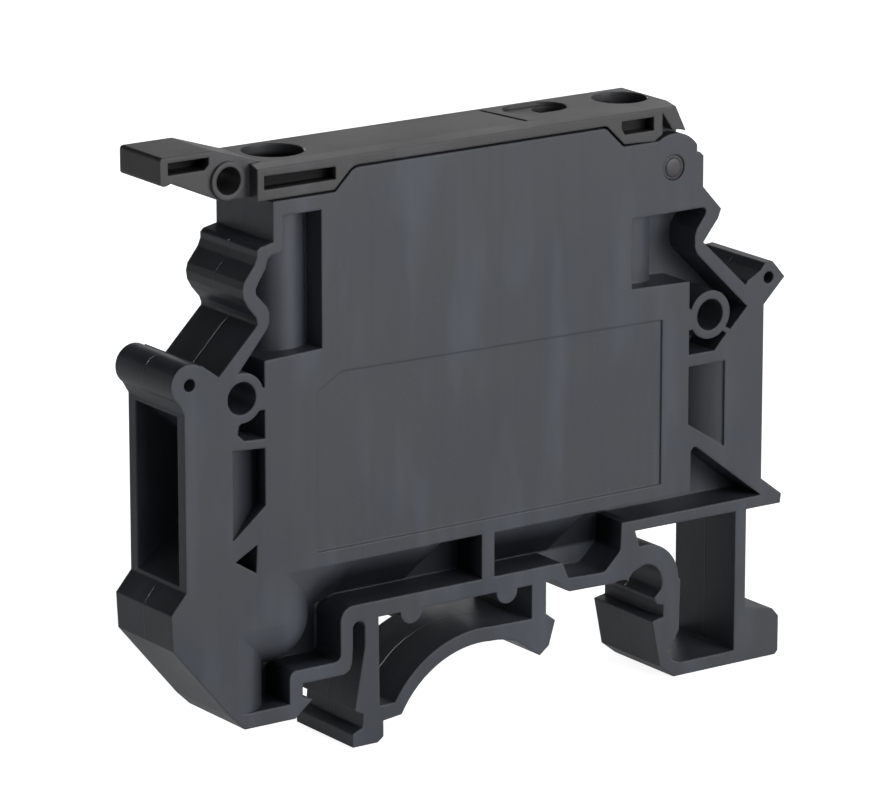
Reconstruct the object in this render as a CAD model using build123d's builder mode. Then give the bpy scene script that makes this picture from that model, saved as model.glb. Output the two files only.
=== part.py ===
from build123d import *
from math import cos, radians, sin, sqrt
import os

# Fuse terminal block for a 35 mm mounting rail: a slim moulded housing with a rail foot, a hinged
# lever that carries a 5 x 20 mm cartridge fuse, and a screw clamp with a wire funnel at each end.
#
# Frame, in millimetres: X along the block, across the rail; Y through its thickness, along the rail,
# with the face that shows at -Y; Z up. The origin is on the surface that the feet stand on, in the
# middle of the rail and of the thickness. Each outline is drawn in the XZ plane.

# Housing
thickness = 8.0
rim = 1.2                   # ribs and edges seen on the front
web = 1.0                   # wall left at mid-thickness behind the open pockets
wall_left = -28.2
wall_right = 27.5
wall_bottom = 15.4
wall_top = 29.8
neck_left = -21.5
neck_right = 21.2
shoulder_top = 36.2
panel_left = -20.9
panel_right = 19.9
panel_bottom = 15.4
base_top = 11.7
right_base_top = 14.0
right_base_wall = 0.9
crown_left = -20.0
ledge_z = 45.05             # top of the housing at its ends, under the lever
ridge_rise = 1.7            # height of the raised side walls in the middle
ridge_left = -12.55
ridge_right = 11.4
ridge_slope = 1.75
ridge_round = (1.2, 0.5)    # of the upper corners, left and right

rib_left = -0.5
rib_right = 0.7
round_left = -23.6
round_middle = -19.2
round_floor = 7.35
slope_blend = -12.4         # where the slope has grown out of the body
slope_end = -5.9
round_right = 8.2

# Rail and feet
rail_width = 35.0
rail_play = 0.2
flange_slot = 1.1
seat_z = 6.2                # underside of the seat that rests on the rail's flange
claw_x = rail_width / 2 + rail_play / 2
leg_left = -12.4
leg_right = -10.45
leg_slot_x = -12.3          # slot between the leg and the body
leg_slot_r = 0.58
nib_r = 1.0
middle_leg_left = 4.4
middle_leg_right = 5.8
arch_top = 6.4
arch_wall = 1.2
spring_x = 15.65            # centre of the round spring at the right claw
spring_z = 8.3
spring_inner_r = 1.8
spring_outer_r = 3.45
spring_leg_left = 17.6
spring_leg_right = 19.3
foot_right = 29.6
bulge_left = -29.6
foot_height = 4.0
foot_floor = 1.1
strut_left = 24.9
strut_right = 26.0

# Bosses, tubes and their holes
ring_x = (-23.0, 22.0)
ring_z = 30.05
ring_r = 2.0
ring_hole_r = 1.3
tube_x = (-27.7, 27.95)
tube_z = (31.8, 32.3)
tube_r = 1.65
tube_hole_r = 0.5

# Screw clamps
clamp_x = (-17.4, 15.7)
guide_r = 2.5               # moulded tube that guides the screwdriver
guide_bore_r = 2.0
clearance = 0.2
bar_width = 4.2
bar_wall = 1.0
bar_underside = 24.8
cage_length = 5.2
cage_width = 5.6
cage_wall = 0.7
cage_floor = 1.0
cage_top = 1.3
cage_play = 0.3
wire_height = 5.2
thread_play = 0.05
screw_r = 1.5
head_r = 1.85
head_height = 1.6
slot_width = 0.6
slot_depth = 1.0
clamp_travel = 2.5
mouth_bottom = 15.6
mouth_top = 29.2
throat_bottom = 20.1
throat_top = 25.4
throat_run = 3.0            # level length of each throat
throat_half = 2.1
window_bottom = 18.8
window_top = 26.0
window_depth = 1.4          # beside the panel
window_outer = (-23.9, 23.6)

# Fuse and its contacts
fuse_length = 20.0
fuse_r = 2.6
fuse_drop = 3.05            # fuse's axis under the ledge
glass_wall = 0.5
cap_length = 5.0
cap_wall = 0.25
cap_end = 0.4
fuse_wire_r = 0.12
fit = 0.05
clip_length = 3.8
clip_inset = 1.0            # from the fuse's end to the clip
clip_wall = 0.3
clip_height = 5.0
clip_play = 0.05            # beside the clip, to the housing's side wall
rivet_r = 0.8
rivet_head_r = 1.3
rivet_head = 0.45
riser_gap = 0.4             # from the fuse's end to the bar's upright leg

# Lever
pivot_x = 18.2
pivot_drop = 2.35           # pivot under the ledge
trunnion_r = 1.0
trunnion_play = 0.05
ear_r = 2.8
ear_side = 2.95             # from the pivot to the ears' upright edge
lever_gap = 0.2
lever_height = 2.95         # lever's top over the ledge
shoulder_width = 1.0
shoulder_drop = 0.3
block_left = -21.4
relief_r = 3.1              # keeps the lever clear of the ears as it opens
hub_r = 2.2
hub_play = 0.1
nose_slope = 1.5
nose_x = 18.15
tab_left = -29.35
tab_rise = 1.4              # tab's top over the lever's top
tab_thickness = 2.2
tab_width = 5.7
tab_slope_start = -24.7
tab_slope_end = -20.3
eye_x = -23.4
eye_drop = 1.05             # eye under the lever's top
eye_r = 1.5
eye_hole_r = 1.1
driver_hole_r = (2.45, 2.25)  # left and right; the right one ends before the nose
recess_depth = 1.8

# Worked out from the sizes above
half = thickness / 2
ridge_z = ledge_z + ridge_rise
fuse_z = ledge_z - fuse_drop
pivot_z = ledge_z - pivot_drop
lever_top = ledge_z + lever_height
tab_top = lever_top + tab_rise
tab_bottom = tab_top - tab_thickness
eye_z = lever_top - eye_drop
inner_half = fuse_r + (fit + clip_wall + clip_play)
glass_r = fuse_r - cap_wall - fit
pocket_depth = half - web / 2
bar_top = bar_underside + bar_wall
wire_floor = bar_underside - wire_height
cage_bottom = wire_floor - cage_floor
cage_top_z = bar_top + cage_play + cage_top
head_z = cage_top_z + clamp_travel + clearance
clamp_chamber_top = head_z + head_height + clearance
clamp_chamber_bottom = cage_bottom - clearance
rivet_gap = 0.2
clip_z = fuse_z - fuse_r - rivet_gap - rivet_head - clip_wall
bar_foot = clip_z - bar_wall
glass_length = fuse_length - 2 * cap_end
clip_outer = fuse_length / 2 - clip_inset
clip_inner = clip_outer - clip_length
stop_x = fuse_length / 2 + clearance
stop_wall = 1.2
carrier_half = inner_half - hub_play
chamber_left = -(stop_x + stop_wall + 1.0)
chamber_right = stop_x + stop_wall + clearance
cradle_x = fuse_length / 2 - cap_length - 0.4
bar_riser = fuse_length / 2 + riser_gap
swing_r = pivot_x - chamber_right
pivot = (pivot_x, pivot_z)
ear_start_x = pivot_x - sqrt(ear_r**2 - (ledge_z - pivot_z) ** 2)
ear_right = pivot_x + ear_side
base_under = base_top - rim - 0.15
front_plane = Plane.XZ.offset(half)
both_faces = ((front_plane, -1), (Plane.XZ.offset(-half), 1))

os.makedirs("parts", exist_ok=True)


def round_corners(sketch, radius, *points):
    """Rounds the corners of a sketch that are nearest to the points."""
    fillet([sketch.vertices().sort_by_distance(Vector(x, y, 0))[0] for x, y in points], radius)


# Pockets along the base, cut from both faces: they leave the web, and the body runs out into them on
# rounds as deep as the housing and on slopes with conical ends
with BuildPart() as low_pockets:
    with BuildSketch(Plane.XZ) as low_outline:
        Polygon(
            (round_left, 4.7),
            (-18.8, 4.7),
            (-18.8, round_floor),
            (-14.0, round_floor),
            (-14.0, base_top),
            (rib_left, base_top),
            (rib_left, panel_bottom),
            (round_middle, panel_bottom),
            (round_middle, round_floor + half),
            (round_left, round_floor + half),
            align=None,
        )
        Polygon(
            (rib_right, base_top),
            (7.4, base_top),
            (8.0, 10.3),
            (11.6, 10.15),
            (13.2, 11.7),
            (13.3, right_base_top),
            (14.2, right_base_top),
            (14.2, panel_bottom),
            (rib_right, panel_bottom),
            align=None,
        )
        round_corners(low_outline, 0.6, (-18.8, round_floor), (-14.0, round_floor))
        round_corners(low_outline, 1.2, (-14.0, base_top))
        round_corners(low_outline, 0.3, (7.4, base_top), (8.0, 10.3))
        round_corners(low_outline, 0.7, (11.6, 10.15), (13.2, 11.7))
    extrude(amount=half, both=True)
    Box(2 * foot_right, web, 2 * ridge_z, mode=Mode.SUBTRACT)
    with Locations((round_left, 0, 0)):
        Cylinder(half, round_floor + half, align=(Align.CENTER, Align.CENTER, Align.MIN), mode=Mode.SUBTRACT)
    with Locations((round_middle, 0, round_floor + half)):
        Sphere(half, mode=Mode.SUBTRACT)
        Cylinder(half, panel_bottom, align=(Align.CENTER, Align.CENTER, Align.MIN), mode=Mode.SUBTRACT)
        Cylinder(
            half,
            round_middle - round_left,
            rotation=(0, 90, 0),
            align=(Align.CENTER, Align.CENTER, Align.MAX),
            mode=Mode.SUBTRACT,
        )
    slope_height = panel_bottom - base_top
    with BuildSketch(Plane.YZ.offset(round_middle)):
        Polygon((-half, panel_bottom), (-half, base_top), (half, base_top), (half, panel_bottom), align=None)
    with BuildSketch(Plane.YZ.offset(slope_blend)):
        Polygon(
            (-half, panel_bottom),
            (-web / 2, base_top),
            (web / 2, base_top),
            (half, panel_bottom),
            align=None,
        )
    loft(mode=Mode.SUBTRACT)
    for slope_left, slope_right in ((slope_blend, slope_end), (rib_right, round_right)):
        with BuildSketch(Plane.YZ.offset(slope_left)):
            Polygon(
                (-half, panel_bottom),
                (-web / 2, base_top),
                (web / 2, base_top),
                (half, panel_bottom),
                align=None,
            )
        extrude(amount=slope_right - slope_left, mode=Mode.SUBTRACT)
        with Locations((slope_right, 0, base_top)):
            Cone(
                web / 2,
                half,
                slope_height,
                align=(Align.CENTER, Align.CENTER, Align.MIN),
                mode=Mode.SUBTRACT,
            )


# Wire funnels: level throats at the clamps, which widen in height and in width towards the mouths
with BuildPart() as funnels:
    for side, x, wall in ((-1, clamp_x[0], wall_left), (1, clamp_x[1], wall_right)):
        throat_x = x + side * (cage_length / 2 + clearance)
        with BuildSketch(Plane.XZ):
            Polygon(
                (wall + side, mouth_bottom - 0.8),
                (throat_x + side * throat_run, throat_bottom),
                (throat_x - side * 0.1, throat_bottom),
                (throat_x - side * 0.1, throat_top),
                (throat_x + side * throat_run, throat_top),
                (wall - side * 0.6, mouth_top),
                (wall + side, mouth_top),
                align=None,
            )
    extrude(amount=inner_half, both=True)
    with BuildSketch(Plane.XY):
        for side, x, wall, outer, inner in (
            (-1, clamp_x[0], wall_left, window_outer[0], panel_left),
            (1, clamp_x[1], wall_right, window_outer[1], panel_right),
        ):
            Polygon(
                (wall + side, -inner_half),
                (outer, -inner_half),
                (inner, -throat_half),
                (x, -throat_half),
                (x, throat_half),
                (inner, throat_half),
                (outer, inner_half),
                (wall + side, inner_half),
                align=None,
            )
    extrude(amount=ledge_z, mode=Mode.INTERSECT)


# Windows in both faces over the throats: they deepen towards the panel
with BuildPart() as windows:
    with BuildSketch(Plane.XZ):
        Polygon(
            (window_outer[0], window_top),
            (panel_left, window_top - 0.2),
            (panel_left, window_bottom + 2.4),
            (window_outer[0], window_bottom),
            align=None,
        )
        Polygon(
            (panel_right, window_top),
            (window_outer[1], window_top),
            (window_outer[1], window_bottom),
            (panel_right, window_bottom + 2.4),
            align=None,
        )
    extrude(amount=half, both=True)
    with BuildSketch(Plane.XY):
        for outer, inner in zip(window_outer, (panel_left, panel_right)):
            Polygon(
                (outer, -(half - 0.2)),
                (inner, -(half - window_depth)),
                (inner, half - window_depth),
                (outer, half - 0.2),
                align=None,
            )
    extrude(amount=ledge_z, mode=Mode.SUBTRACT)


# Housing: the silhouette is built up from its areas, then pockets and chambers are cut in it
with BuildPart() as housing:
    with BuildSketch(Plane.XZ) as outline:
        # body between the two wire walls, with its sloping shoulders
        Polygon(
            (wall_left, wall_bottom - 3.0),
            (wall_left, wall_top),
            (neck_left - 3.6, shoulder_top - 4.2),
            (neck_left, shoulder_top - 0.6),
            (neck_left, shoulder_top + 5.2),
            (neck_left + 0.3, shoulder_top + 5.45),
            (crown_left, shoulder_top + 5.7),
            (crown_left, ledge_z),
            (ridge_left - ridge_slope, ledge_z),
            (ridge_left, ridge_z),
            (ridge_right, ridge_z),
            (ridge_right + ridge_slope, ledge_z),
            (ear_start_x, ledge_z),
            (pivot_x + 2.3, pivot_z + 1.2),
            (pivot_x + 2.3, pivot_z + 0.95),
            (ear_right - 0.25, pivot_z + 0.85),
            (ear_right, pivot_z + 0.6),
            (ear_right, shoulder_top + 4.4),
            (neck_right, shoulder_top),
            (neck_right + 4.2, shoulder_top - 4.0),
            (wall_right, wall_top + 0.3),
            (wall_right, right_base_top - right_base_wall),
            (spring_x - 1.0, right_base_top - right_base_wall),
            (spring_x - 3.2, base_top - 1.2),
            (-5.0, base_top - 1.2),
            align=None,
        )
        round_corners(outline, ridge_round[0], (ridge_left, ridge_z))
        round_corners(outline, ridge_round[1], (ridge_right, ridge_z))
        with Locations(pivot):
            Circle(ear_r)
        Polygon(
            (pivot_x + 2.3, pivot_z + 0.95),
            (pivot_x + 4.0, pivot_z + 0.85),
            (pivot_x + 4.0, ridge_z),
            (pivot_x + 2.3, ridge_z),
            align=None,
            mode=Mode.SUBTRACT,
        )
        # lower left corner, which bulges past the wire wall
        Polygon(
            (wall_left, wall_bottom),
            (bulge_left, 13.8),
            (bulge_left + 0.15, 10.9),
            (-24.2, 4.6),
            (-23.0, 3.45),
            (-18.3, 3.45),
            (-claw_x + 0.9, seat_z - flange_slot - 0.35),
            (-claw_x, seat_z - flange_slot),
            (-claw_x, seat_z),
            (-13.7, seat_z),
            (-13.2, seat_z + 0.25),
            (leg_slot_x - leg_slot_r - 0.1, seat_z + 0.8),
            (leg_slot_x - leg_slot_r, 8.2),
            (leg_slot_x - leg_slot_r, wall_bottom),
            align=None,
        )
        # noses that hold a marker strip
        Polygon(
            (neck_left, 35.8),
            (-21.65, 36.25),
            (-22.35, 37.1),
            (-22.75, 37.8),
            (-22.85, 38.5),
            (-22.7, 39.1),
            (-22.2, 39.75),
            (-21.75, 40.3),
            (neck_left, 40.9),
            align=None,
        )
        Polygon(
            (neck_right, 36.1),
            (21.9, 37.0),
            (22.7, 37.95),
            (23.0, 38.7),
            (ear_right, 40.75),
            (neck_right - 1.0, 40.75),
            (neck_right - 1.0, 36.1),
            align=None,
        )
        # flared ends of the wire walls and their round tubes
        Polygon((wall_left, wall_top - 0.2), (-29.3, 31.5), (-26.6, 33.2), (-25.0, 32.0), align=None)
        Polygon(
            (wall_right, wall_top + 0.3),
            (foot_right, tube_z[1] - 0.15),
            (28.35, 33.6),
            (27.6, 33.55),
            (27.05, 32.95),
            (25.8, 32.3),
            (25.0, 31.0),
            align=None,
        )
        with Locations((tube_x[0], tube_z[0])):
            Circle(tube_r)
        # right end of the base, with its pointed lip
        Polygon(
            (spring_x - 1.2, right_base_top - right_base_wall),
            (foot_right - 0.1, right_base_top - 1.0),
            (foot_right, right_base_top - 0.2),
            (wall_right, wall_bottom),
            (spring_x - 1.2, wall_bottom),
            align=None,
        )
    extrude(amount=half, both=True)

    # base between the feet, the legs, the arch and the spring claw
    with BuildSketch(Plane.XZ):
        Polygon(
            (-13.4, base_top + 1.0),
            (-13.4, base_under - 0.6),
            (leg_slot_x + leg_slot_r, base_under - 0.6),
            (leg_slot_x + leg_slot_r, base_under),
            (6.6, base_under),
            (6.9, base_under - 0.25),
            (7.6, 9.4),
            (8.1, 9.15),
            (12.6, 9.05),
            (spring_x, spring_z + spring_inner_r),
            (spring_x - 1.0, right_base_top - right_base_wall),
            (spring_x - 1.0, right_base_top),
            align=None,
        )
        # leg with its barb for the narrow rail
        Polygon(
            (leg_slot_x + leg_slot_r, base_top - 0.5),
            (leg_slot_x + leg_slot_r, 8.2),
            (-12.7, 3.0),
            (-11.9, 2.6),
            (-12.0, 1.5),
            (-12.95, 1.1),
            (-12.9, 0.0),
            (leg_right - 0.1, 0.0),
            (-10.0, 0.4),
            (-10.0, 1.6),
            (leg_right + 0.1, 3.0),
            (leg_right, base_top - 0.5),
            align=None,
        )
        # middle leg and its hook
        Polygon(
            (middle_leg_left, base_top - 0.5),
            (middle_leg_left, 7.4),
            (2.9, 7.3),
            (2.8, 5.95),
            (5.2, 4.3),
            (6.1, 5.0),
            (6.7, 7.0),
            (middle_leg_right, 7.7),
            (middle_leg_right, base_top - 0.5),
            align=None,
        )
        # stiffening nibs under the base
        for nib_x in (-7.3, 1.95):
            with Locations((nib_x, base_under - 0.1)):
                Circle(nib_r)
    extrude(amount=half, both=True)
    with BuildSketch(Plane.XZ):
        with Locations((leg_slot_x, base_under - 0.6)):
            Circle(leg_slot_r)
    extrude(amount=half, both=True, mode=Mode.SUBTRACT)
    with BuildSketch(Plane.XZ):
        with BuildLine():
            outer = ThreePointArc((-8.25, 1.9), (-4.0, 5.75), (0.4, arch_top))
            Spline((0.4, arch_top), (3.2, 5.75), (5.3, 4.4), tangents=((1, 0), (1, -0.75)))
            Line((5.3, 4.4), (5.3, 7.5))
            Line((5.3, 7.5), (0.4, arch_top + arch_wall))
            ThreePointArc((0.4, arch_top + arch_wall), (-4.6, 6.8), (-8.9, 3.0))
            Line((-8.9, 3.0), (leg_right, 3.0))
            Line((leg_right, 3.0), (leg_right, 1.65))
            Line((leg_right, 1.65), (-8.25, 1.9))
        make_face()
    extrude(amount=half, both=True)

    # round spring over the right claw, the spring's leg and the right foot
    with BuildSketch(Plane.XZ):
        with Locations((spring_x, spring_z)):
            Circle(spring_outer_r)
            Circle(spring_inner_r, mode=Mode.SUBTRACT)
        Polygon(
            (spring_x - 6.0, spring_z + 0.85),
            (spring_x - 2.0, spring_z + 0.85),
            (spring_x, spring_z),
            (claw_x, spring_z - 0.9),
            (claw_x, -1.0),
            (spring_x - 6.0, -1.0),
            align=None,
            mode=Mode.SUBTRACT,
        )
        Polygon((16.65, 7.05), (16.95, 6.5), (17.75, 6.3), (18.4, 6.6), (18.3, 8.3), (17.4, 7.75), align=None)
        Polygon(
            (spring_leg_left, spring_z - 0.6),
            (claw_x, seat_z - 0.9),
            (claw_x - 1.1, seat_z - flange_slot),
            (17.2, 1.6),
            (17.3, 1.1),
            (18.7, 0.0),
            (19.4, 0.0),
            (19.4, foot_floor),
            (18.6, 1.45),
            (18.1, 2.2),
            (19.2, 3.9),
            (spring_leg_right, spring_z),
            (spring_x + spring_outer_r, spring_z),
            align=None,
        )
        Polygon(
            (18.7, 0.0),
            (foot_right - 0.4, 0.0),
            (foot_right - 0.1, 0.3),
            (foot_right - 0.1, foot_height - 0.7),
            (foot_right - 0.7, foot_height),
            (strut_right, foot_height + 0.6),
            (strut_right, right_base_top),
            (strut_left, right_base_top),
            (strut_left, foot_floor),
            (18.7, foot_floor),
            align=None,
        )
    extrude(amount=half, both=True)

    # pockets at both faces, down to the web at mid-thickness
    for face, inward in both_faces:
        with BuildSketch(face):
            # tall pocket at the left, under the left end of the lever
            Polygon(
                (crown_left + 0.9, ledge_z - rim),
                (crown_left + 0.9, 41.05),
                (-20.2, 40.9),
                (-20.55, 40.65),
                (-20.75, 39.9),
                (-21.35, 39.0),
                (-21.65, 38.45),
                (-21.6, 38.0),
                (-20.65, 36.95),
                (-20.42, 36.4),
                (-20.45, 35.6),
                (-20.7, 35.1),
                (-23.3, ring_z + ring_r),
                (-22.0, ring_z + 0.55),
                (panel_left, ring_z + 0.55),
                (panel_left, 32.7),
                (-15.6, 32.9),
                (-15.6, ledge_z - rim),
                align=None,
            )
            # pocket at the right, under the ears
            Polygon(
                (14.1, 39.05),
                (21.2, 39.05),
                (21.5, 38.8),
                (21.4, 38.4),
                (20.55, 37.3),
                (20.4, 36.8),
                (20.4, 35.8),
                (20.7, 35.2),
                (25.8, ring_z + 0.15),
                (24.1, ring_z - 1.5),
                (panel_right, ring_z + 0.8),
                (panel_right, 33.1),
                (14.1, 33.3),
                align=None,
            )
            # small pockets under the two bosses
            Polygon(
                (panel_left, ring_z - 1.2),
                (panel_left, 26.55),
                (-22.8, 26.65),
                (-23.4, 27.2),
                (-23.3, 27.9),
                (-22.0, ring_z - 1.2),
                align=None,
            )
            Polygon(
                (panel_right, ring_z - 1.0),
                (panel_right, 27.0),
                (22.5, 27.0),
                (23.7, 28.25),
                (22.5, ring_z - 1.0),
                align=None,
            )
            # triangles at the foot of the wire walls
            Polygon((-21.7, 18.2), (-21.8, 15.9), (-23.7, 17.1), align=None)
            Polygon(
                (20.2, right_base_top),
                (20.2, 18.9),
                (20.5, 19.2),
                (20.8, 19.15),
                (27.5, right_base_top),
                align=None,
            )
            # strip over the right end of the base
            Polygon(
                (round_right + 1.0, panel_bottom),
                (14.2, right_base_top),
                (20.3, right_base_top),
                (20.3, panel_bottom),
                align=None,
            )
        extrude(amount=inward * pocket_depth, mode=Mode.SUBTRACT)
    add(low_pockets.part, mode=Mode.SUBTRACT)

    # bosses, and the tubes that guide the screwdriver
    with BuildSketch(Plane.XZ):
        with Locations((ring_x[0], ring_z), (ring_x[1], ring_z)):
            Circle(ring_r)
    extrude(amount=half, both=True)
    with Locations((clamp_x[0], 0, clamp_chamber_top)):
        Cylinder(guide_r, ledge_z - clamp_chamber_top, align=(Align.CENTER, Align.CENTER, Align.MIN))
    with Locations((clamp_x[1], 0, clamp_chamber_top)):
        Cylinder(guide_r, 39.5 - clamp_chamber_top, align=(Align.CENTER, Align.CENTER, Align.MIN))
    with Locations((clamp_x[0], 0, clamp_chamber_bottom), (clamp_x[1], 0, clamp_chamber_bottom)):
        Cylinder(
            guide_bore_r,
            ledge_z + 1.0 - clamp_chamber_bottom,
            align=(Align.CENTER, Align.CENTER, Align.MIN),
            mode=Mode.SUBTRACT,
        )

    # windows, funnels, clamp chambers and the slots for the current bars
    add(windows.part, mode=Mode.SUBTRACT)
    add(funnels.part, mode=Mode.SUBTRACT)
    with BuildSketch(Plane.XZ):
        for x in clamp_x:
            with Locations((x, (clamp_chamber_top + clamp_chamber_bottom) / 2)):
                Rectangle(cage_length + 2 * clearance, clamp_chamber_top - clamp_chamber_bottom)
    extrude(amount=inner_half, both=True, mode=Mode.SUBTRACT)
    with BuildSketch(Plane.XZ):
        for side, x in ((-1, clamp_x[0]), (1, clamp_x[1])):
            riser = side * (bar_riser + bar_wall / 2)
            with Locations(((x + riser) / 2, bar_underside + bar_wall / 2)):
                Rectangle(abs(x - riser) + bar_wall + 2 * clearance, bar_wall + 2 * clearance)
            with Locations((riser, (bar_underside + bar_foot) / 2)):
                Rectangle(bar_wall + 2 * clearance, bar_foot - bar_underside + 2 * clearance)
    extrude(amount=bar_width / 2 + clearance, both=True, mode=Mode.SUBTRACT)

    # fuse chamber, open at the top, and the space between the ears for the lever's hub
    with BuildSketch(Plane.XZ):
        Polygon(
            (chamber_left, bar_foot),
            (chamber_right, bar_foot),
            (chamber_right, ridge_z + 1.0),
            (chamber_left, ridge_z + 1.0),
            align=None,
        )
        Polygon(
            (chamber_right - 0.1, pivot_z),
            (pivot_x - 4.0, pivot_z),
            (pivot_x - 4.0, ridge_z + 1.0),
            (chamber_right - 0.1, ridge_z + 1.0),
            align=None,
        )
        with Locations(pivot):
            Circle(swing_r, mode=Mode.SUBTRACT)
            Circle(relief_r - 0.35)
        Polygon(
            (pivot_x - hub_r - 0.3, pivot_z),
            (pivot_x - hub_r - 0.3, ridge_z + 1.0),
            (ear_right + 1.0, ridge_z + 1.0),
            (ear_right + 1.0, pivot_z - 1.7),
            (pivot_x, pivot_z - 1.7),
            align=None,
        )
    extrude(amount=inner_half, both=True, mode=Mode.SUBTRACT)

    # holes through the thickness
    with BuildSketch(Plane.XZ):
        with Locations((ring_x[0], ring_z), (ring_x[1], ring_z)):
            Circle(ring_hole_r)
        with Locations((tube_x[0], tube_z[0]), (tube_x[1], tube_z[1])):
            Circle(tube_hole_r)
        with Locations(pivot):
            Circle(trunnion_r + trunnion_play)
    extrude(amount=half, both=True, mode=Mode.SUBTRACT)

    # shallow field on the panel in both faces
    for face, inward in both_faces:
        with BuildSketch(face):
            Polygon((-16.1, 16.6), (17.2, 16.6), (17.2, 30.3), (-13.8, 30.8), (-16.1, 29.4), align=None)
        extrude(amount=inward * 0.15, mode=Mode.SUBTRACT)
housing.part.label = "housing"
export_step(housing.part, "parts/housing.step")


# Lever: a full-width cap, the finger tab, and between the side walls the fuse carrier and the hub
with BuildPart() as fuse_lever:
    with BuildSketch(Plane.XZ) as cap_outline:
        Polygon(
            (block_left, ledge_z + lever_gap),
            (ridge_left - ridge_slope - lever_gap / 2, ledge_z + lever_gap),
            (ridge_left - lever_gap / 2, ridge_z + lever_gap),
            (ridge_right + lever_gap / 2, ridge_z + lever_gap),
            (ridge_right + ridge_slope + lever_gap / 2, ledge_z + lever_gap),
            (nose_x + nose_slope, ledge_z + lever_gap - 0.3),
            (nose_x, lever_top),
            (block_left, lever_top),
            align=None,
        )
        round_corners(cap_outline, ridge_round[0] + lever_gap, (ridge_left, ridge_z + lever_gap))
        round_corners(cap_outline, ridge_round[1] + lever_gap, (ridge_right, ridge_z + lever_gap))
        with Locations(pivot):
            Circle(relief_r, mode=Mode.SUBTRACT)
    extrude(amount=half, both=True)
    # sloping shoulders along both upper edges
    with BuildSketch(Plane.YZ.offset(block_left - 1.0)):
        for side in (-1, 1):
            Polygon(
                (side * half, lever_top - shoulder_drop),
                (side * (half - shoulder_width), lever_top),
                (side * half, lever_top + 1.0),
                (side * (half + 1.0), lever_top),
                align=None,
            )
    extrude(amount=nose_x + nose_slope + 2.0 - block_left, mode=Mode.SUBTRACT)
    # three-cornered recess in both faces beside the ears
    for face, inward in both_faces:
        with BuildSketch(face):
            Polygon((17.0, lever_top - 0.65), (17.0, ledge_z), (18.3, ledge_z), (18.2, ledge_z + 0.5), align=None)
        extrude(amount=inward * (half - carrier_half), mode=Mode.SUBTRACT)
    # tab and eye, narrower than the block
    with BuildSketch(Plane.XZ) as tab_outline:
        Polygon(
            (tab_left, tab_bottom),
            (tab_left, tab_top),
            (tab_slope_start, tab_top),
            (tab_slope_end, lever_top),
            (block_left + 1.0, lever_top - 1.0),
            (block_left + 1.0, ledge_z + 0.3),
            (-22.2, ledge_z + 0.35),
            (-24.2, ledge_z + 0.45),
            (-28.4, tab_bottom + 0.15),
            (-28.8, tab_bottom),
            align=None,
        )
        round_corners(tab_outline, 0.3, (tab_left, tab_top), (tab_left, tab_bottom))
    extrude(amount=tab_width / 2, both=True)
    with BuildSketch(Plane.XZ):
        with Locations((eye_x, eye_z)):
            Circle(eye_r)
    extrude(amount=tab_width / 2 + 0.25, both=True)
    with BuildSketch(Plane.XZ):
        with Locations((eye_x, eye_z)):
            Circle(eye_hole_r)
    extrude(amount=half, both=True, mode=Mode.SUBTRACT)

    # carrier: beam, stops at the fuse's ends and the cradle that grips the glass
    with BuildSketch(Plane.XZ):
        Polygon(
            (-(stop_x + stop_wall), ridge_z + 0.5),
            (-(stop_x + stop_wall), fuse_z - 2.2),
            (-stop_x, fuse_z - 2.2),
            (-stop_x, fuse_z + fuse_r + clearance),
            (-cradle_x, fuse_z + fuse_r + clearance),
            (-cradle_x, fuse_z - 1.3),
            (cradle_x, fuse_z - 1.3),
            (cradle_x, fuse_z + fuse_r + clearance),
            (stop_x, fuse_z + fuse_r + clearance),
            (stop_x, fuse_z - 2.2),
            (stop_x + stop_wall, fuse_z - 2.2),
            (stop_x + stop_wall, ridge_z + 0.5),
            align=None,
        )
        # hub and the neck that joins it to the cap
        with Locations(pivot):
            Circle(hub_r)
        Polygon(
            (pivot_x - hub_r, pivot_z),
            (pivot_x - hub_r, ledge_z + 0.5),
            (pivot_x + 1.0, ledge_z + 1.2),
            (pivot_x + 1.0, pivot_z),
            align=None,
        )
    extrude(amount=carrier_half, both=True)
    with Locations((0, 0, fuse_z)):
        Cylinder(glass_r + 2 * fit, 2 * cradle_x, rotation=(0, 90, 0), mode=Mode.SUBTRACT)
    # trunnions, which turn in the ears
    with BuildSketch(Plane.XZ):
        with Locations(pivot):
            Circle(trunnion_r)
    extrude(amount=half - 0.1, both=True)

    # screwdriver holes
    for x, hole_r in zip(clamp_x, driver_hole_r):
        with Locations((x, 0, pivot_z - 3.0)):
            Cylinder(hole_r, 9.0, align=(Align.CENTER, Align.CENTER, Align.MIN), mode=Mode.SUBTRACT)

    # moulding pockets in both faces, round the walls of the screwdriver holes
    for face, inward in both_faces:
        with BuildSketch(face):
            Polygon(
                (-20.8, lever_top - 1.95),
                (-14.25, lever_top - 1.95),
                (-14.25, lever_top - 0.95),
                (-20.8, lever_top - 0.85),
                align=None,
            )
            Polygon(
                (12.95, lever_top - 1.5),
                (13.3, lever_top - 2.0),
                (16.15, lever_top - 2.0),
                (16.15, lever_top - 0.9),
                (12.95, lever_top - 0.9),
                align=None,
            )
        extrude(amount=inward * (half - driver_hole_r[0] - 0.35), mode=Mode.SUBTRACT)
    for face, inward in ((Plane.XZ.offset(tab_width / 2), -1), (Plane.XZ.offset(-tab_width / 2), 1)):
        with BuildSketch(face):
            Polygon(
                (-28.65, tab_bottom + 0.8),
                (-25.4, tab_bottom + 0.8),
                (-25.0, tab_bottom + 1.2),
                (-25.0, tab_top - 0.45),
                (-28.65, tab_top - 0.45),
                align=None,
            )
        extrude(amount=inward * recess_depth, mode=Mode.SUBTRACT)
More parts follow.
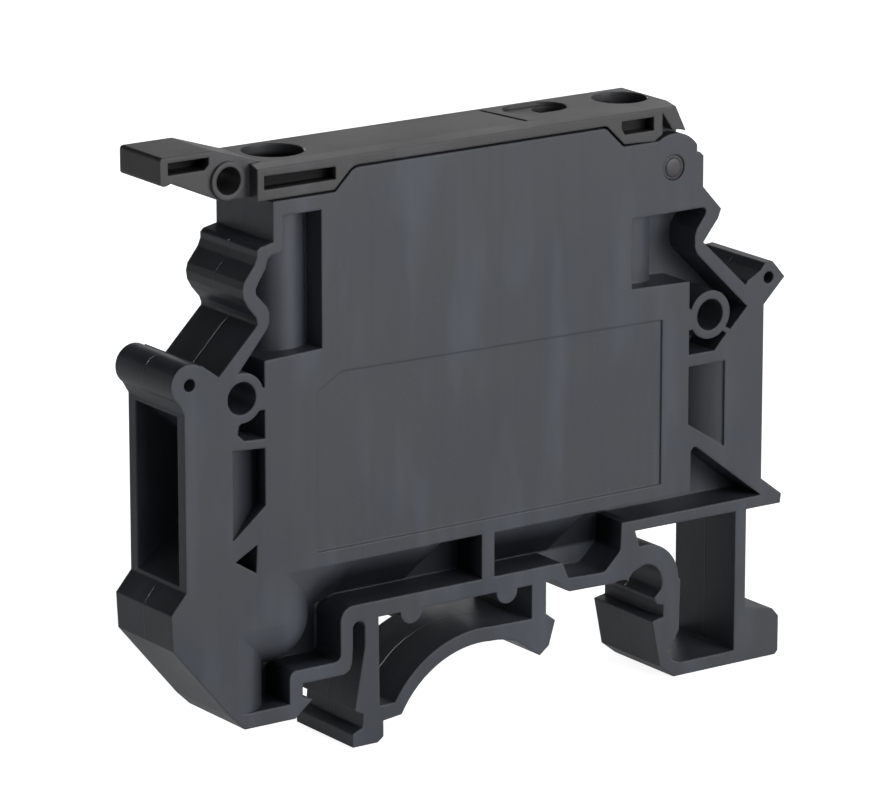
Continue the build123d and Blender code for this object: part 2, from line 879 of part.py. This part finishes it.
    # groove, and an oval recess with a round well at its end, in the top
    with BuildSketch(Plane.XY.offset(lever_top)):
        with Locations((4.2, -0.15)):
            Rectangle(0.35, 5.3, rotation=8.5)
    extrude(amount=-0.35, mode=Mode.SUBTRACT)
    with BuildSketch(Plane.XY.offset(lever_top)):
        with Locations((7.9, 0.75)):
            SlotOverall(5.5, 3.6)
    extrude(amount=-0.3, mode=Mode.SUBTRACT)
    with BuildSketch(Plane.XY.offset(lever_top)):
        with Locations((9.15, 0.75)):
            Circle(1.3)
    extrude(amount=-1.3, mode=Mode.SUBTRACT)
fuse_lever.part.label = "fuse_lever"
export_step(fuse_lever.part, "parts/fuse_lever.step")


# Cartridge fuse: glass, two end caps and the wire
with BuildPart() as fuse_glass:
    with BuildSketch(Plane.YZ.offset(-glass_length / 2)):
        with Locations((0, fuse_z)):
            Circle(glass_r)
            Circle(glass_r - glass_wall, mode=Mode.SUBTRACT)
    extrude(amount=glass_length)
fuse_glass.part.label = "fuse_glass"
export_step(fuse_glass.part, "parts/fuse_glass.step")

for name, side in (("fuse_cap_left", -1), ("fuse_cap_right", 1)):
    with BuildPart() as fuse_cap:
        with BuildSketch(Plane.YZ.offset(side * fuse_length / 2)):
            with Locations((0, fuse_z)):
                Circle(fuse_r)
        extrude(amount=-side * cap_length)
        chamfer(fuse_cap.edges().filter_by(GeomType.CIRCLE).sort_by(Axis.X)[-1 if side > 0 else 0], cap_wall)
        with BuildSketch(Plane.YZ.offset(side * glass_length / 2)):
            with Locations((0, fuse_z)):
                Circle(fuse_r - cap_wall)
        extrude(amount=-side * cap_length, mode=Mode.SUBTRACT)
    fuse_cap.part.label = name
    export_step(fuse_cap.part, f"parts/{name}.step")

with BuildPart() as fuse_wire:
    with BuildSketch(Plane.YZ.offset(-glass_length / 2)):
        with Locations((0, fuse_z)):
            Circle(fuse_wire_r)
    extrude(amount=glass_length)
fuse_wire.part.label = "fuse_wire"
export_step(fuse_wire.part, "parts/fuse_wire.step")


# Screw clamp, current bar, fuse clip and rivet at each end
for end, side, x in (("left", -1, clamp_x[0]), ("right", 1, clamp_x[1])):
    with BuildPart() as clamp_screw:
        with Locations((x, 0, bar_top + fit)):
            Cylinder(screw_r, head_z - bar_top - fit, align=(Align.CENTER, Align.CENTER, Align.MIN))
        chamfer(clamp_screw.faces().sort_by(Axis.Z)[0].edges(), 0.3)
        with Locations((x, 0, head_z)):
            Cylinder(head_r, head_height, align=(Align.CENTER, Align.CENTER, Align.MIN))
        chamfer(clamp_screw.faces().sort_by(Axis.Z)[-1].edges(), 0.25)
        with Locations((x, 0, head_z + head_height)):
            Box(
                2 * head_r + 1.0,
                slot_width,
                slot_depth,
                align=(Align.CENTER, Align.CENTER, Align.MAX),
                mode=Mode.SUBTRACT,
            )
    clamp_screw.part.label = f"{end}_screw"
    export_step(clamp_screw.part, f"parts/{end}_screw.step")

    with BuildPart() as clamp_cage:
        with BuildSketch(Plane.YZ.offset(x - cage_length / 2)):
            with Locations((0, (cage_bottom + cage_top_z) / 2)):
                RectangleRounded(cage_width, cage_top_z - cage_bottom, cage_wall)
            with Locations((0, (wire_floor + cage_top_z - cage_top) / 2)):
                Rectangle(cage_width - 2 * cage_wall, cage_top_z - cage_top - wire_floor, mode=Mode.SUBTRACT)
        extrude(amount=cage_length)
        with Locations((x, 0, cage_top_z)):
            Hole(screw_r + thread_play, cage_top + 0.2)
    clamp_cage.part.label = f"{end}_cage"
    export_step(clamp_cage.part, f"parts/{end}_cage.step")

    bar_end = x + side * cage_length / 2
    with BuildPart() as current_bar:
        with BuildSketch(Plane.XZ):
            Polygon(
                (bar_end, bar_underside),
                (side * bar_riser, bar_underside),
                (side * bar_riser, bar_foot),
                (side * (clip_inner - 0.3), bar_foot),
                (side * (clip_inner - 0.3), clip_z),
                (side * (bar_riser + bar_wall), clip_z),
                (side * (bar_riser + bar_wall), bar_top),
                (bar_end, bar_top),
                align=None,
            )
        extrude(amount=bar_width / 2, both=True)
        with Locations((side * (clip_inner + clip_outer) / 2, 0, clip_z)):
            Hole(rivet_r + 0.02, bar_wall + 0.1)
    current_bar.part.label = f"{end}_current_bar"
    export_step(current_bar.part, f"parts/{end}_current_bar.step")

    with BuildPart() as fuse_clip:
        with BuildSketch(Plane.YZ.offset(side * clip_inner)):
            with Locations((0, clip_z + clip_height / 2)):
                Rectangle(2 * (fuse_r + fit + clip_wall), clip_height)
            with Locations((0, clip_z + clip_wall + clip_height / 2)):
                Rectangle(2 * (fuse_r + fit), clip_height, mode=Mode.SUBTRACT)
        extrude(amount=side * clip_length)
        with Locations((side * (clip_inner + clip_outer) / 2, 0, clip_z + clip_wall)):
            Hole(rivet_r + 0.02, clip_wall + 0.1)
    fuse_clip.part.label = f"{end}_fuse_clip"
    export_step(fuse_clip.part, f"parts/{end}_fuse_clip.step")

    with BuildPart() as clip_rivet:
        with Locations((side * (clip_inner + clip_outer) / 2, 0, bar_foot)):
            Cylinder(rivet_r, bar_wall + clip_wall, align=(Align.CENTER, Align.CENTER, Align.MIN))
        with Locations((side * (clip_inner + clip_outer) / 2, 0, clip_z + clip_wall)):
            Cylinder(rivet_head_r, rivet_head, align=(Align.CENTER, Align.CENTER, Align.MIN))
        chamfer(clip_rivet.faces().sort_by(Axis.Z)[-1].edges(), 0.2)
    clip_rivet.part.label = f"{end}_clip_rivet"
    export_step(clip_rivet.part, f"parts/{end}_clip_rivet.step")
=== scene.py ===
"""Looks of the fuse terminal block: satin grey mouldings, plated metal and a
glass fuse, in a plain white studio. Everything is in metres, in the CAD frame:
X along the block, -Y the face towards the camera, Z up, and the origin under
the block's middle."""

import math

import bpy
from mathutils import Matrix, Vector


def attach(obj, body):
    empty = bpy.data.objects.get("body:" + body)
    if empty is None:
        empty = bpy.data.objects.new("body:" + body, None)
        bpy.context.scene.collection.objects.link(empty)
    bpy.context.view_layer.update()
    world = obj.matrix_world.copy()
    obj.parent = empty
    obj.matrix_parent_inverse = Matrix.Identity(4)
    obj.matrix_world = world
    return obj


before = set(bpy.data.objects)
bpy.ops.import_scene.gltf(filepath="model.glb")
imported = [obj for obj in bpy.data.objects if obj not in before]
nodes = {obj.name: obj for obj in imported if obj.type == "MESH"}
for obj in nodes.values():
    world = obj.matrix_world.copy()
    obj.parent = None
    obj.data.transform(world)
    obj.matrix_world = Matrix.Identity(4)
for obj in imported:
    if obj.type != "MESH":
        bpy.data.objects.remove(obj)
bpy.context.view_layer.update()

# Sizes and places that the CAD gives
mm = 0.001
thread_top = 30.2 * mm                      # the screws' heads begin here
thread_pitch = 0.5 * mm
pivot_x, pivot_z = 18.2 * mm, 42.7 * mm     # the lever's axis
trunnion_end = 3.9 * mm                     # from mid-width

# Domes on the trunnions' ends
dome_radius = 0.82 * mm
dome_flatness = 0.11                        # its height over its radius

# Edges that only the shading rounds, and the mouldings' parting line
moulded_edge = 0.24 * mm
metal_edge = 0.08 * mm
parting_height = 0.03 * mm
parting_half_width = (0.03 * mm, 0.09 * mm)     # at its top and at its foot

# Camera: at the photograph's angle and distance, level, without shift
camera_place = (-0.24948, -0.35481, 0.14368)
camera_azimuth = -34.963                    # degrees from -Y towards +X
camera_elevation = 15.247                   # degrees
focal_length = 229.87                       # mm, on a sensor of this width
sensor_width = 36

# Studio: lamp azimuths and elevations in degrees, sides in metres, power in watts
studio_middle = (0, 0, 0.025)
lamp_distance = 1.0
lamps = (
    ("key_softbox", 20, 13, 0.4, 4.6),
    ("front_softbox", 0, 10, 0.4, 1.5),
    ("side_softbox", 42, 12, 0.4, 2.6),
    ("top_softbox", -5, 50, 0.4, 0.9),
    ("rear_right_softbox", 140, 15, 0.4, 0.35),
    ("rear_high_softbox", 132, 41, 0.4, 1.3),
    ("rear_left_softbox", -140, 15, 0.4, 0.3),
    ("rear_softbox", 172, 3, 0.25, 3.6),
    ("left_softbox", -60, 20, 0.4, 0.15),
)
floor_size = 6
floor_drop = 0.1 * mm                       # keeps it clear of the feet
floor_seen = 0.9                            # its own glow, as the camera sees it
floor_mirrored = 0.25                       # and as the plastic reflects it
fill_left, fill_right = 0.01, 0.03          # strength of the world's faint fill light
fill_reach = 0.9                            # X of the directions where the fill levels off

# Open recesses of the mouldings, whose floors get painted shade, in mm: the ranges of X and
# of Z, the distances of mouth and floor from mid-width, and how much painted shade darkens the
# floor
housing_shaded_recesses = (
    ((20.1, 24.0), (18.2, 26.2), (3.88, 2.7), 0.95),        # field at the right funnel
    ((-24.0, -20.1), (18.2, 26.2), (3.88, 2.7), 0.95),      # field at the left funnel
    ((-24.0, -14.1), (4.6, 16.4), (3.97, 2.2), 0.8),        # corner of the low pocket
    ((-14.4, 14.3), (11.7, 16.4), (3.97, 2.2), 0.8),        # trough above the base
)
lever_shaded_recesses = (
    ((-20.9, -14.1), (45.9, 47.25), (3.92, 3.3), 0.9),      # long pocket
    ((12.85, 16.3), (45.9, 47.25), (3.92, 3.3), 0.8),       # short pocket
    ((-28.75, -24.9), (47.9, 49.05), (2.8, 2.2), 0.9),      # pocket in the finger tab
)

# Sockets of the colour mix node, whose names aren't unique
mix_share, mix_first, mix_second, mix_result = 0, 6, 7, 2


# Camera
camera_data = bpy.data.cameras.new("photo_camera")
camera = bpy.data.objects.new("photo_camera", camera_data)
bpy.context.collection.objects.link(camera)
camera_data.sensor_width = sensor_width
camera_data.lens = focal_length
camera_data.clip_start = 0.02
camera_data.clip_end = 20
camera.location = camera_place
camera.rotation_euler = (math.radians(90 - camera_elevation), 0, math.radians(camera_azimuth))
bpy.context.scene.camera = camera


# Materials
class Shader:
    """A new material whose nodes are added and joined one line at a time."""

    def __init__(self, name):
        self.material = bpy.data.materials.new(name)
        self.material.use_nodes = True
        self.tree = self.material.node_tree
        self.surface = self.tree.nodes["Principled BSDF"]
        self.place = self.add("ShaderNodeTexCoord").outputs["Object"]

    def add(self, kind, **settings):
        """Adds a node; its attributes and its sockets are set by name."""
        node = self.tree.nodes.new(kind)
        for key, value in settings.items():
            if hasattr(node, key):
                setattr(node, key, value)
            else:
                node.inputs[key.replace("_", " ")].default_value = value
        return node

    def join(self, start, end):
        self.tree.links.new(start, end)

    def feed(self, socket, value):
        """Gives a socket a number, a colour or another node's output."""
        if isinstance(value, tuple):
            socket.default_value = (*value, 1)
        elif isinstance(value, (int, float)):
            socket.default_value = value
        else:
            self.join(value, socket)

    def finish(self, **values):
        """Feeds the surface's own sockets, by name."""
        for key, value in values.items():
            self.feed(self.surface.inputs[key.replace("_", " ")], value)

    def axes(self):
        """The separate X, Y and Z of the object coordinates."""
        node = self.add("ShaderNodeSeparateXYZ")
        self.join(self.place, node.inputs[0])
        return node.outputs

    def stretched(self, x, y, z):
        """Object coordinates, stretched along each axis."""
        node = self.add("ShaderNodeMapping")
        node.inputs["Scale"].default_value = (x, y, z)
        self.join(self.place, node.inputs["Vector"])
        return node.outputs["Vector"]

    def noise(self, per_metre, detail, roughness, place=None):
        """Noise with this many features per metre."""
        node = self.add("ShaderNodeTexNoise", Scale=per_metre, Detail=detail, Roughness=roughness)
        self.join(place or self.place, node.inputs["Vector"])
        return node.outputs["Fac"]

    def spread(self, value, low, high, to_low=0.0, to_high=1.0):
        """Maps a range of values to another one, clamped."""
        node = self.add("ShaderNodeMapRange")
        ends = {"From Min": low, "From Max": high, "To Min": to_low, "To Max": to_high}
        for key, number in ends.items():
            node.inputs[key].default_value = number
        self.join(value, node.inputs["Value"])
        return node.outputs["Result"]

    def mix(self, share, first, second):
        """Mixes two colours, each a colour or an output, by a share."""
        node = self.add("ShaderNodeMix", data_type="RGBA")
        self.feed(node.inputs[mix_first], first)
        self.feed(node.inputs[mix_second], second)
        self.join(share, node.inputs[mix_share])
        return node.outputs[mix_result]

    def math(self, kind, first, second=0):
        node = self.add("ShaderNodeMath", operation=kind)
        self.feed(node.inputs[0], first)
        self.feed(node.inputs[1], second)
        return node.outputs[0]

    def within(self, value, low, high):
        """1 where a value lies between two limits, 0 outside, with soft borders."""
        soft = 0.15 * mm
        over = self.spread(value, low - soft, low + soft)
        under = self.spread(value, high - soft, high + soft, 1, 0)
        return self.math("MULTIPLY", over, under)

    def bump(self, height, depth, strength, under=None):
        """Bump of this depth in metres, over another normal if one is given."""
        node = self.add("ShaderNodeBump")
        node.inputs["Strength"].default_value = strength
        node.inputs["Distance"].default_value = depth
        self.join(height, node.inputs["Height"])
        if under is not None:
            self.join(under, node.inputs["Normal"])
        return node.outputs["Normal"]

    def soft_edges(self, radius):
        """A normal that rounds each edge over this radius."""
        return self.add("ShaderNodeBevel", samples=4, Radius=radius).outputs["Normal"]

    def edge_mask(self, rounded):
        """1 on the edges that a rounded normal shows, 0 on flat faces."""
        flat = self.add("ShaderNodeNewGeometry").outputs["Normal"]
        dot = self.add("ShaderNodeVectorMath", operation="DOT_PRODUCT")
        self.join(rounded, dot.inputs[0])
        self.join(flat, dot.inputs[1])
        return self.spread(dot.outputs["Value"], 0.995, 0.8)


def scaled(colour, factor):
    """A colour made paler or darker, no brighter than white."""
    return tuple(min(1, factor * c) for c in colour)


def recess_shade(shader, axes, from_middle, recesses):
    """How deep a point lies in the open recesses, from 0 to each one's share:
    the painted shade that darkens their floors and weakens their reflection."""
    deepest = 0
    for across, upward, (mouth, bottom), painted_shade in recesses:
        inside = shader.math(
            "MULTIPLY",
            shader.within(axes["X"], across[0] * mm, across[1] * mm),
            shader.within(axes["Z"], upward[0] * mm, upward[1] * mm),
        )
        sunk = shader.spread(from_middle, mouth * mm, bottom * mm, 0, painted_shade)
        deepest = shader.math("MAXIMUM", deepest, shader.math("MULTIPLY", inside, sunk))
    return deepest


def moulded_plastic(name, colour, warm, edge_highlight, recesses, parting=0.0):
    """Satin moulded polyamide: fine grain, flow streaks down the faces, slow
    shifts of tone, a painted highlight along the rounded edges, painted shade on the
    floors of the recesses and, if its height is given, a parting line at mid-width."""
    shader = Shader(name)
    axes = shader.axes()
    from_middle = shader.math("ABSOLUTE", axes["Y"])
    rounded = shader.soft_edges(moulded_edge)
    edges = shader.edge_mask(rounded)
    painted_recess_shade = recess_shade(shader, axes, from_middle, recesses)
    clouds = shader.noise(120, 4, 0.6)
    veils = shader.noise(260, 3, 0.5, shader.stretched(1, 1, 0.22))
    streaks = shader.noise(1400, 3, 0.6, shader.stretched(1, 1, 0.05))
    grain = shader.noise(9000, 2, 0.7)
    specks = shader.noise(3200, 2, 0.4)

    # Colour, from the slowest shifts to the smallest marks, then the painted highlight along the
    # edges, and the painted shade in the recesses last
    # The last of these colours is the painted shade of the recesses' floors
    darker, paler, recess_shade_colour = scaled(colour, 0.8), scaled(colour, 1.55), scaled(colour, 0.1)
    tone = shader.mix(shader.spread(clouds, 0.32, 0.7), colour, warm)
    tone = shader.mix(shader.spread(streaks, 0.5, 0.78, 0, 0.55), tone, darker)
    tone = shader.mix(shader.spread(veils, 0.5, 0.72, 0, 0.9), tone, paler)
    tone = shader.mix(shader.spread(specks, 0.66, 0.74, 0, 0.35), tone, paler)
    # Painted highlight: the rounded edges made paler
    tone = shader.mix(shader.math("MULTIPLY", edges, 0.5), tone, edge_highlight)
    # Painted shade: the floors of the recesses darkened, more the deeper they lie
    tone = shader.mix(painted_recess_shade, tone, recess_shade_colour)

    # Roughness: cloudy, with the grain on top
    cloudy = shader.math(
        "ADD",
        shader.spread(clouds, 0.3, 0.7, 0.36, 0.45),
        shader.spread(veils, 0.45, 0.75, 0.0, 0.05),
    )
    rough = shader.math("ADD", cloudy, shader.spread(grain, 0.3, 0.7, -0.03, 0.05))

    # Relief: grain and streaks over the rounded edges, then the parting line
    normal = shader.bump(grain, 0.012 * mm, 0.5, rounded)
    normal = shader.bump(streaks, 0.02 * mm, 0.35, normal)
    if parting:
        line = shader.spread(from_middle, *parting_half_width, 1, 0)
        normal = shader.bump(line, parting, 0.6, normal)

    # The painted shade of the recesses also weakens their reflection
    shader.finish(
        Base_Color=tone,
        Specular_IOR_Level=shader.spread(painted_recess_shade, 0, 1, 0.42, 0.04),
        Roughness=rough,
        Normal=normal,
        IOR=1.5,
    )
    return shader.material


def plated_metal(name, colour, dull, roughness, grain, pitch=0.0):
    """Plated sheet or turned metal: rolling or turning marks, stretched by the
    grain's scales, cloudy plating, a painted highlight along the edges, and a screw's
    threads if a pitch is given."""
    shader = Shader(name)
    rounded = shader.soft_edges(metal_edge)
    edges = shader.edge_mask(rounded)
    clouds = shader.noise(500, 4, 0.6)
    lines = shader.noise(5000, 2, 0.6, shader.stretched(*grain))

    tone = shader.mix(shader.spread(clouds, 0.35, 0.68), colour, dull)
    # Painted highlight: the edges made paler
    tone = shader.mix(shader.math("MULTIPLY", edges, 0.6), tone, scaled(colour, 1.15))

    rough = shader.math(
        "ADD",
        shader.spread(clouds, 0.3, 0.7, roughness, roughness + 0.14),
        shader.spread(lines, 0.3, 0.7, -0.03, 0.05),
    )

    normal = shader.bump(lines, 0.01 * mm, 0.4, rounded)
    if pitch:
        height = shader.axes()["Z"]
        wave = shader.math("SINE", shader.math("MULTIPLY", height, 2 * math.pi / pitch))
        ridges = shader.math("MULTIPLY", wave, shader.math("LESS_THAN", height, thread_top))
        normal = shader.bump(ridges, 0.06 * mm, 0.9, normal)

    shader.finish(Base_Color=tone, Metallic=1.0, Roughness=rough, Normal=normal)
    return shader.material


def clear_glass(name):
    """Clear fuse glass with a faint green tint and slightly uneven walls."""
    shader = Shader(name)
    clouds = shader.noise(600, 3, 0.5)
    shader.finish(
        Base_Color=shader.mix(
            shader.spread(clouds, 0.3, 0.7), (0.93, 0.98, 0.96), (0.97, 1.0, 0.99)
        ),
        Transmission_Weight=1.0,
        Roughness=shader.spread(clouds, 0.4, 0.75, 0.015, 0.05),
        Normal=shader.bump(clouds, 0.02 * mm, 0.3),
        IOR=1.5,
    )
    return shader.material


slate = moulded_plastic(
    "slate_polyamide",
    colour=(0.037, 0.043, 0.055),
    warm=(0.041, 0.044, 0.051),
    # the painted highlight colour along the rounded edges
    edge_highlight=(0.085, 0.092, 0.105),
    recesses=housing_shaded_recesses,
    parting=parting_height,
)
lever_grey = moulded_plastic(
    "lever_polyamide",
    colour=(0.041, 0.042, 0.047),
    warm=(0.047, 0.045, 0.044),
    # the painted highlight colour along the rounded edges
    edge_highlight=(0.095, 0.094, 0.096),
    recesses=lever_shaded_recesses,
)
zinc = plated_metal("zinc_plate", (0.62, 0.64, 0.67), (0.5, 0.52, 0.56), 0.26, (1, 1, 8))
threaded = plated_metal(
    "threaded_zinc", (0.6, 0.62, 0.65), (0.48, 0.5, 0.54), 0.24, (1, 1, 8), thread_pitch
)
nickel = plated_metal("nickel_caps", (0.72, 0.69, 0.64), (0.6, 0.57, 0.53), 0.16, (12, 1, 1))
tin = plated_metal("tin_plate", (0.68, 0.67, 0.65), (0.55, 0.54, 0.53), 0.3, (0.1, 1, 1))
bronze = plated_metal("tinned_bronze", (0.66, 0.62, 0.55), (0.55, 0.5, 0.44), 0.24, (1, 0.1, 1))
wire_metal = plated_metal("drawn_wire", (0.7, 0.7, 0.68), (0.6, 0.6, 0.58), 0.3, (0.1, 1, 1))
glass = clear_glass("fuse_glass_clear")

finish_of = {
    "housing": slate,
    "fuse_lever": lever_grey,
    "fuse_glass": glass,
    "fuse_cap_left": nickel,
    "fuse_cap_right": nickel,
    "fuse_wire": wire_metal,
}
for side in ("left", "right"):
    finish_of[f"{side}_cage"] = zinc
    finish_of[f"{side}_screw"] = threaded
    finish_of[f"{side}_current_bar"] = tin
    finish_of[f"{side}_fuse_clip"] = bronze
    finish_of[f"{side}_clip_rivet"] = nickel
for name, finish in finish_of.items():
    nodes[name].data.materials.clear()
    nodes[name].data.materials.append(finish)


# Small domes on the ends of the lever's trunnions
for end, outward in (("front", -1), ("back", 1)):
    bpy.ops.object.select_all(action="DESELECT")
    bpy.ops.mesh.primitive_uv_sphere_add(segments=40, ring_count=20, radius=dome_radius)
    dome = bpy.context.object
    dome.name = f"trunnion_dome_{end}"
    bpy.ops.transform.resize(value=(1, dome_flatness, 1))
    bpy.ops.transform.translate(value=(pivot_x, outward * trunnion_end, pivot_z))
    bpy.ops.object.transform_apply(location=True, rotation=True, scale=True)
    bpy.ops.object.shade_smooth()
    dome.data.materials.append(lever_grey)
    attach(dome, "lever")


# Floor: white to the camera, with the object's shadow kept
bpy.ops.object.select_all(action="DESELECT")
bpy.ops.mesh.primitive_plane_add(size=floor_size, location=(0, 0, -floor_drop))
floor = bpy.context.object
floor.name = "white_floor"
paint = Shader("white_floor_paint")
patches = paint.spread(paint.noise(6, 2, 0.5), 0.3, 0.7)
paint.finish(
    Base_Color=paint.mix(patches, (0.8, 0.8, 0.8), (0.82, 0.82, 0.82)),
    Roughness=0.9,
    Specular_IOR_Level=0.1,
)
ray = paint.add("ShaderNodeLightPath").outputs
by_mirror = paint.math("MAXIMUM", ray["Is Glossy Ray"], ray["Is Transmission Ray"])
seen = paint.math("MAXIMUM", ray["Is Camera Ray"], by_mirror)
brightness = paint.spread(ray["Is Camera Ray"], 0, 1, floor_mirrored, floor_seen)
glow = paint.add("ShaderNodeEmission")
lit = paint.add("ShaderNodeAddShader")
choice = paint.add("ShaderNodeMixShader")
plain = paint.surface.outputs[0]
for start, end in (
    (brightness, glow.inputs["Strength"]),
    (plain, lit.inputs[0]),
    (glow.outputs[0], lit.inputs[1]),
    (seen, choice.inputs[0]),
    (plain, choice.inputs[1]),
    (lit.outputs[0], choice.inputs[2]),
    (choice.outputs[0], paint.tree.nodes["Material Output"].inputs["Surface"]),
):
    paint.join(start, end)
floor.data.materials.append(paint.material)


# World: white behind the object, and almost no light of its own
world = bpy.data.worlds.new("white_studio")
bpy.context.scene.world = world
world.use_nodes = True
tree = world.node_tree
tree.nodes.clear()
ray = tree.nodes.new("ShaderNodeLightPath")
direction = tree.nodes.new("ShaderNodeTexCoord")
axes = tree.nodes.new("ShaderNodeSeparateXYZ")
fill = tree.nodes.new("ShaderNodeMapRange")
fill.inputs["From Min"].default_value = -fill_reach
fill.inputs["From Max"].default_value = fill_reach
fill.inputs["To Min"].default_value = fill_left
fill.inputs["To Max"].default_value = fill_right
seen = tree.nodes.new("ShaderNodeMath")
seen.operation = "MAXIMUM"
strength = tree.nodes.new("ShaderNodeMath")
strength.operation = "MAXIMUM"
background = tree.nodes.new("ShaderNodeBackground")
output = tree.nodes.new("ShaderNodeOutputWorld")
for start, end in (
    (direction.outputs["Generated"], axes.inputs[0]),
    (axes.outputs["X"], fill.inputs["Value"]),
    (ray.outputs["Is Camera Ray"], seen.inputs[0]),
    (ray.outputs["Is Transmission Ray"], seen.inputs[1]),
    (seen.outputs[0], strength.inputs[0]),
    (fill.outputs["Result"], strength.inputs[1]),
    (strength.outputs[0], background.inputs["Strength"]),
    (background.outputs[0], output.inputs["Surface"]),
):
    tree.links.new(start, end)


# Lamps: square softboxes around the object, turned towards its middle
for name, azimuth, elevation, side_length, power in lamps:
    lamp_data = bpy.data.lights.new(name, "AREA")
    lamp_data.shape = "SQUARE"
    lamp_data.size = side_length
    lamp_data.energy = power
    lamp = bpy.data.objects.new(name, lamp_data)
    bpy.context.collection.objects.link(lamp)
    turn, rise = math.radians(azimuth), math.radians(elevation)
    level = math.cos(rise)
    outward = Vector((level * math.sin(turn), -level * math.cos(turn), math.sin(rise)))
    lamp.location = Vector(studio_middle) + lamp_distance * outward
    lamp.rotation_euler = (-outward).to_track_quat("-Z", "Y").to_euler()

bpy.context.scene.view_settings.view_transform = "Standard"
